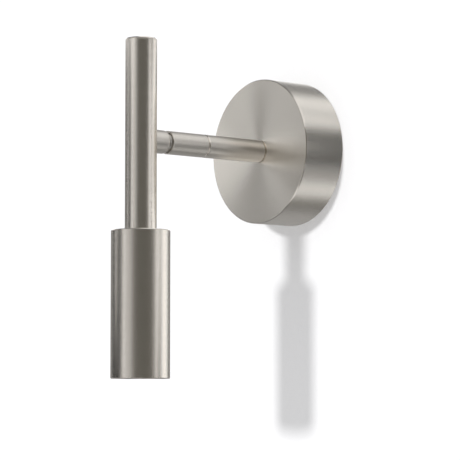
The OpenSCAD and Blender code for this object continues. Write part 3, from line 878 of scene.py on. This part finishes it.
@dataclass
class Stem:
    """Upright stem with its bevelled cap."""

    wall: float = 1.25 * MM
    rim: float = 0.12 * MM
    cap_rim: float = 1.5 * MM
    cap_bevel_wide: float = 0.5 * MM
    cap_bevel_high: float = 0.8 * MM
    bevel_foot_round: float = 0.15 * MM
    bevel_top_round: float = 0.2 * MM
    spigot_gap: float = 0.05 * MM
    spigot_round: float = 0.3 * MM
    spindle_hole: float = 4.2 * MM
    hole_block: float = 6.0 * MM
    hole_cells: int = 28
    segments: int = 160

    def tube(self) -> None:
        """Stem tube with the spindle's hole in its wall side."""
        low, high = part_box("stem_tube")
        radius, inside = high.x, high.x - self.wall
        hole = WallHole(math.pi / 2, 0.0, self.spindle_hole, self.hole_block, self.hole_cells,
                        radius, inside, self.segments)
        stations = hole.stations()
        corners = [
            (radius, low.z, self.rim), *[(radius, height) for height in stations],
            (radius, high.z, self.rim), (inside, high.z, self.rim),
            *[(inside, height) for height in stations[::-1]], (inside, low.z, self.rim),
        ]
        Piece("stem_sleeve", LAMP_SIDE, "satin_nickel", NICKEL_STEM, "stem_tube",
              on_stem).build(*pierced(corners, [hole]))

    def cap(self) -> None:
        """Cap with a bevelled rim on a spigot."""
        low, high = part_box("stem_cap")
        radius, top = high.x, high.z
        under = top - self.cap_rim
        spigot = radius - self.wall - self.spigot_gap
        Piece("stem_end_cap", LAMP_SIDE, "satin_nickel", NICKEL_STEM, "stem_cap",
              on_stem, CUT_STEM).turn([
            (0.0, low.z), (spigot, low.z, self.spigot_round), (spigot, under),
            (radius, under, self.rim), (radius, top - self.cap_bevel_high, self.bevel_foot_round),
            (radius - self.cap_bevel_wide, top, self.bevel_top_round), (0.0, top),
        ], self.segments)

    def build(self) -> None:
        """Builds the stem."""
        self.tube()
        self.cap()


@dataclass
class Head:
    """Cylindrical head with its stepped baffle."""

    wall: float = 1.6 * MM
    top: float = 3.0 * MM
    chamfer: float = 0.5 * MM
    edge: float = 0.15 * MM
    nipple_hole: float = 5.2 * MM
    baffle_wall: float = 3.0 * MM
    baffle_edge: float = 0.2 * MM
    baffle_step: float = 1.0 * MM
    step_edge: float = 0.12 * MM
    baffle_steps: int = 5
    segments: int = 192

    def shell(self) -> None:
        """Head shell: flat top, straight wall and an open mouth, with fine chamfers."""
        low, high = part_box("head_shell")
        radius, cut = high.x, self.chamfer
        inside, under = radius - self.wall, high.z - self.top
        Piece("head_tube", LAMP_SIDE, "satin_nickel", NICKEL_STEM, "head_shell",
              on_stem, CUT_STEM).turn([
            (self.nipple_hole, high.z, self.edge), (radius - cut, high.z, self.edge),
            (radius, high.z - cut, self.edge), (radius, low.z + cut, self.edge),
            (radius - cut, low.z, self.edge), (inside, low.z, 2 * self.edge),
            (inside, under, 2 * self.edge), (self.nipple_hole, under, self.edge),
        ], self.segments)

    def baffle(self) -> None:
        """Black ring whose bore is cut in steps that widen downwards."""
        low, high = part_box("glare_baffle")
        radius = high.x
        bore = radius - self.baffle_wall
        pitch = (high.z - low.z) / self.baffle_steps
        corners = [(radius, high.z, self.baffle_edge), (radius, low.z, self.baffle_edge)]
        for step in range(self.baffle_steps):
            corners += [(bore + self.baffle_step, low.z + step * pitch, self.step_edge),
                        (bore, low.z + (step + 1) * pitch, self.step_edge)]
        Piece("stepped_baffle", LAMP_SIDE, "black_plastic", BAFFLE_BLACK, "glare_baffle",
              on_stem).turn(corners, self.segments)

    def build(self) -> None:
        """Builds the head."""
        self.shell()
        self.baffle()


@dataclass
class Lamp:
    """Reflector lamp in the head: housing with a hollow front, facetted bowl, chip and lens."""

    base_radius: float = 12.0 * MM
    base_length: float = 13.0 * MM
    base_round: float = 0.8 * MM
    neck_round: float = 1.5 * MM
    flange: float = 5.0 * MM
    shoulder_round: float = 1.0 * MM
    flange_round: float = 0.4 * MM
    rim: float = 1.2 * MM
    rim_round: float = 0.2 * MM
    # Room between the bowl and the hollow's end
    room_width: float = 2.0 * MM
    room_depth: float = 1.0 * MM
    bowl_depth: float = 15.0 * MM
    bowl_gap: float = 0.4 * MM
    # The bowl's outside lies this far out from its inside, and this far up
    bowl_wall: tuple[float, float] = (0.3 * MM, 0.1 * MM)
    # Share of its depth at which the bowl ends at the chip
    bowl_end: float = 0.96
    chip_radius: float = 4.5 * MM
    chip_height: float = 0.8 * MM
    chip_round: float = 0.6 * MM
    chip_gap: float = 0.2 * MM
    lens_round: float = 0.4 * MM
    lens_seat_round: float = 0.2 * MM
    segments: int = 128
    bowl_rings: int = 8
    bowl_facets: int = 36
    chip_segments: int = 64

    def housing(self) -> None:
        """White housing: a round base, a cone and a flange, with a hollow front."""
        low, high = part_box("lamp_body")
        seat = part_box("lamp_lens")[1].z
        radius, mouth = high.x, high.x - self.rim
        end = seat + self.bowl_depth + self.room_depth
        Piece("lamp_housing", LAMP_SIDE, "lamp_plastic", LAMP_WHITE, "lamp_body", on_stem).turn([
            (0.0, high.z), (self.base_radius, high.z, self.base_round),
            (self.base_radius, high.z - self.base_length, self.neck_round),
            (radius, low.z + self.flange, self.shoulder_round),
            (radius, low.z, self.flange_round), (mouth, low.z, self.rim_round),
            (mouth, seat), (self.chip_radius + self.room_width, end), (0.0, end),
        ], self.segments)

    def reflector(self) -> None:
        """Thin facetted bowl: its radius follows a parabola from the mouth down to the chip."""
        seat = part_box("lamp_lens")[1].z
        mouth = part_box("lamp_body")[1].x - self.rim - self.bowl_gap
        depth = np.linspace(0, self.bowl_end, self.bowl_rings)
        radius = self.chip_radius + (mouth - self.chip_radius) * np.sqrt(1 - depth)
        inner = np.stack([radius, seat + depth * self.bowl_depth], 1)
        outer = inner + np.array(self.bowl_wall)
        Piece("lamp_reflector", LAMP_SIDE, "lamp_plastic", MIRROR, place=on_stem, flat=True).build(
            turned(np.concatenate([inner, outer[::-1]]), self.bowl_facets))

    def chip(self) -> None:
        """Round chip under its gel at the bowl's bottom."""
        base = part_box("lamp_lens")[1].z + self.bowl_end * self.bowl_depth
        front = base - self.chip_height
        Piece("lamp_chip", LAMP_SIDE, "lamp_plastic", PHOSPHOR, place=on_stem).turn([
            (0.0, front), (self.chip_radius - self.chip_round, front, self.chip_round),
            (self.chip_radius - self.chip_gap, base), (0.0, base),
        ], self.chip_segments)

    def lens(self) -> None:
        """Clear front glass."""
        low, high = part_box("lamp_lens")
        Piece("lamp_front_glass", LAMP_SIDE, "lens_glass", GLASS, "lamp_lens", on_stem).turn([
            (0.0, low.z), (high.x, low.z, self.lens_round),
            (high.x, high.z, self.lens_seat_round), (0.0, high.z),
        ], self.segments)

    def build(self) -> None:
        """Builds the lamp."""
        self.housing()
        self.reflector()
        self.chip()
        self.lens()


# Studio

def background_ray(nodes: Nodes) -> NodeSocket:
    """1 for rays that look at the background: from the camera, off metal and through glass."""
    rays = nodes.node("LightPath").outputs
    seen = nodes.add("Math", {0: rays["Is Camera Ray"], 1: rays["Is Glossy Ray"]}, operation="MAXIMUM")
    return nodes.add("Math", {0: seen, 1: rays["Is Transmission Ray"]}, operation="MAXIMUM")


@dataclass(frozen=True)
class Paint(Finish):
    """Matt paint of the room, with a share of white for the rays that look at the background."""

    colour: str
    glow: float

    def surface(self, nodes: Nodes) -> NodeSocket:
        """Matt paint with its added white on the front, and nothing on the back."""
        share = nodes.add("Math", {0: background_ray(nodes), 1: self.glow}, operation="MULTIPLY")
        matt = nodes.add("BsdfDiffuse", {0: linear(self.colour)})
        front = nodes.add("AddShader", {0: matt, 1: nodes.add("Emission", {1: share})})
        behind = nodes.node("NewGeometry").outputs["Backfacing"]
        return nodes.add("MixShader", {0: behind, 1: front, 2: nodes.add("BsdfTransparent")})


@dataclass(frozen=True)
class Board(Finish):
    """Soft light or dark board: a patch of a sphere about the part that only its gloss sees.

    Its directions are in degrees, turned to the right of the camera's own direction and risen
    above the level. A level of 1 is as bright as the white background.
    """

    turn: tuple[float, float]
    rise: tuple[float, float]
    level: float
    tint: str = "#ffffff"

    def surface(self, nodes: Nodes) -> NodeSocket:
        """Even glow."""
        return nodes.add("Emission", {0: linear(self.tint), 1: self.level})


# Each board stands a little nearer than the ones before it and hides them
BOARDS = (
    Board("dark_room", (-180, 180), (-90, 28), 0.12, "#fffbee"),
    Board("dim_back", (140, 320), (-90, 90), 0.22),
    Board("strip_right", (60, 110), (-14, 12), 1.4),
    Board("strip_behind", (110, 250), (-14, 28), 1.32),
    Board("flag_behind", (130, 310), (-14, 12), 0.0),
    Board("flag_right", (70, 90), (-90, 28), 0.0),
    Board("edge_right", (60, 80), (0, 52), 1.28),
    Board("dim_low_behind", (150, 230), (-90, 12), 0.38),
    Board("edge_left", (-110, -100), (0, 28), 1.07),
    Board("wash_low_left", (-100, -20), (-55, -14), 1.06),
    Board("wash_low_right", (80, 93), (-55, -14), 0.35),
    Board("strip_low_right", (93, 114), (-56, -32), 0.95),
    Board("strip_left", (-70, -40), (-32, 28), 1.4),
    Board("edge_right_high", (70, 80), (12, 28), 0.18),
    Board("wash_low_front", (-10, 40), (-90, -14), 0.6),
    Board("soft_left", (-60, -30), (-14, 12), 0.61),
    Board("edge_back_high", (100, 110), (12, 52), 0.42),
    Board("strip_left_high", (-90, -40), (12, 28), 1.23),
)


@dataclass
class Studio:
    """Pale wall and floor, soft lights and dark boards, and the camera of the photograph."""

    eye: Point = (1.10978, -0.97761, -0.17151)
    forward: Point = (-0.76813, 0.63536, 0.07934)
    lens_mm: float = 162.56
    sensor_mm: float = 36.0
    clip_start: float = 0.01
    centre: Point = (0.0, -0.08, -0.04)
    board_reach: float = 3.0
    board_gap: float = 0.02
    board_columns: int = 25
    board_rows: int = 13
    floor_height: float = -1.6
    floor_half: float = 40.0
    wall_gap: float = 0.5 * MM
    wall_half: float = 4.0
    paint: str = "#f8f8f9"
    floor_glow: float = 0.45
    wall_glow: float = 0.05
    # Brightness of the white surroundings as the part's light, where they show as 1
    fill: float = 0.605
    lamp_rise: float = math.radians(13.8)
    lamp_width: float = math.radians(6.0)
    lamp_strength: float = 1.5

    def camera(self) -> None:
        """Sets the camera where the photograph's camera stood."""
        data = bpy.data.cameras.new("camera")
        data.lens = self.lens_mm
        data.sensor_width = self.sensor_mm
        data.clip_start = self.clip_start
        camera = add_object("camera", data)
        camera.location = self.eye
        camera.rotation_euler = Vector(self.forward).to_track_quat("-Z", "Y").to_euler()
        bpy.context.scene.camera = camera

    def world(self) -> None:
        """White surroundings that light the part a little less than they show."""
        world = bpy.data.worlds.new("studio")
        bpy.context.scene.world = world
        world.use_nodes = True
        world.cycles.sampling_method = "NONE"
        world.node_tree.nodes.clear()
        nodes = Nodes(world.node_tree)
        white = linear("#ffffff")
        shown, light = [nodes.add("Background", {0: white, 1: level}) for level in (1.0, self.fill)]
        mixed = nodes.add("MixShader", {0: background_ray(nodes), 1: light, 2: shown})
        nodes.node("OutputWorld", {0: mixed})

    def stand(self, name: str, points: np.ndarray, finish: Finish, *hidden: str) -> None:
        """Adds one sheet of the studio.

        Args:
            name: Name of the sheet.
            points: Grid of its points.
            finish: Its finish, whose glow isn't sampled as a light.
            hidden: Kinds of rays that don't see it, such as camera or glossy.
        """
        mesh = bpy.data.meshes.new(name)
        faces = Patch(points, close_columns=False).faces()
        mesh.from_pydata(points.reshape(-1, 3).tolist(), [], faces.tolist())
        material = finish.material()
        material.cycles.emission_sampling = "NONE"
        mesh.materials.append(material)
        sheet = add_object(name, mesh)
        for ray in hidden:
            setattr(sheet, "visible_" + ray, False)

    def boards(self) -> None:
        """Sets up the boards, each a sheet at equal reach from the centre.

        A point at turn t and rise r lies along cos r (cos t toward + sin t right) + sin r up.
        """
        toward = np.array([-self.forward[0], -self.forward[1], 0.0])
        toward /= np.linalg.norm(toward)
        up = np.array([0.0, 0.0, 1.0])
        right = np.cross(up, toward)
        for number, board in enumerate(BOARDS):
            turn = np.radians(np.linspace(*board.turn, self.board_columns))[:, None]
            rise = np.radians(np.linspace(*board.rise, self.board_rows))[None, :, None]
            flat = np.cos(turn) * toward + np.sin(turn) * right
            aim = np.cos(rise) * flat[:, None] + np.sin(rise) * up
            points = np.array(self.centre) + (self.board_reach - number * self.board_gap) * aim
            self.stand(board.name, points, board, "camera", "diffuse", "shadow")

    def room(self) -> None:
        """Wall that only the camera sees, from the front, and a floor as far below as in a room."""
        half, y, z = self.wall_half, self.wall_gap, self.floor_height
        top = z + 2 * half
        points = np.array([[(-half, y, top), (half, y, top)], [(-half, y, z), (half, y, z)]])
        paint = Paint("wall_paint", self.paint, self.wall_glow)
        self.stand("wall", points, paint, "diffuse", "glossy", "transmission", "shadow")
        half = self.floor_half
        points = np.array([[(-half, half, z), (half, half, z)], [(-half, -half, z), (half, -half, z)]])
        self.stand("floor", points, Paint("floor_paint", self.paint, self.floor_glow), "glossy")

    def lamp(self) -> None:
        """Soft lamp far in front and above that throws the light's shadow on the wall."""
        data = bpy.data.lights.new("lamp", "SUN")
        data.angle = self.lamp_width
        data.energy = self.lamp_strength
        lamp = add_object("lamp", data)
        lamp.rotation_euler = (math.pi / 2 - self.lamp_rise, 0.0, 0.0)
        lamp.visible_glossy = False

    def build(self) -> None:
        """Sets the studio up."""
        self.camera()
        self.world()
        self.boards()
        self.room()
        self.lamp()
        bpy.context.scene.view_settings.view_transform = "Standard"


def main() -> None:
    """Builds the studio and the light."""
    logging.basicConfig(level=logging.INFO)
    Studio().build()
    dress_nodes()
    for assembly in (Canopy(), Arm(), Stem(), Head(), Lamp()):
        assembly.build()


if __name__ == "__main__":
    main()
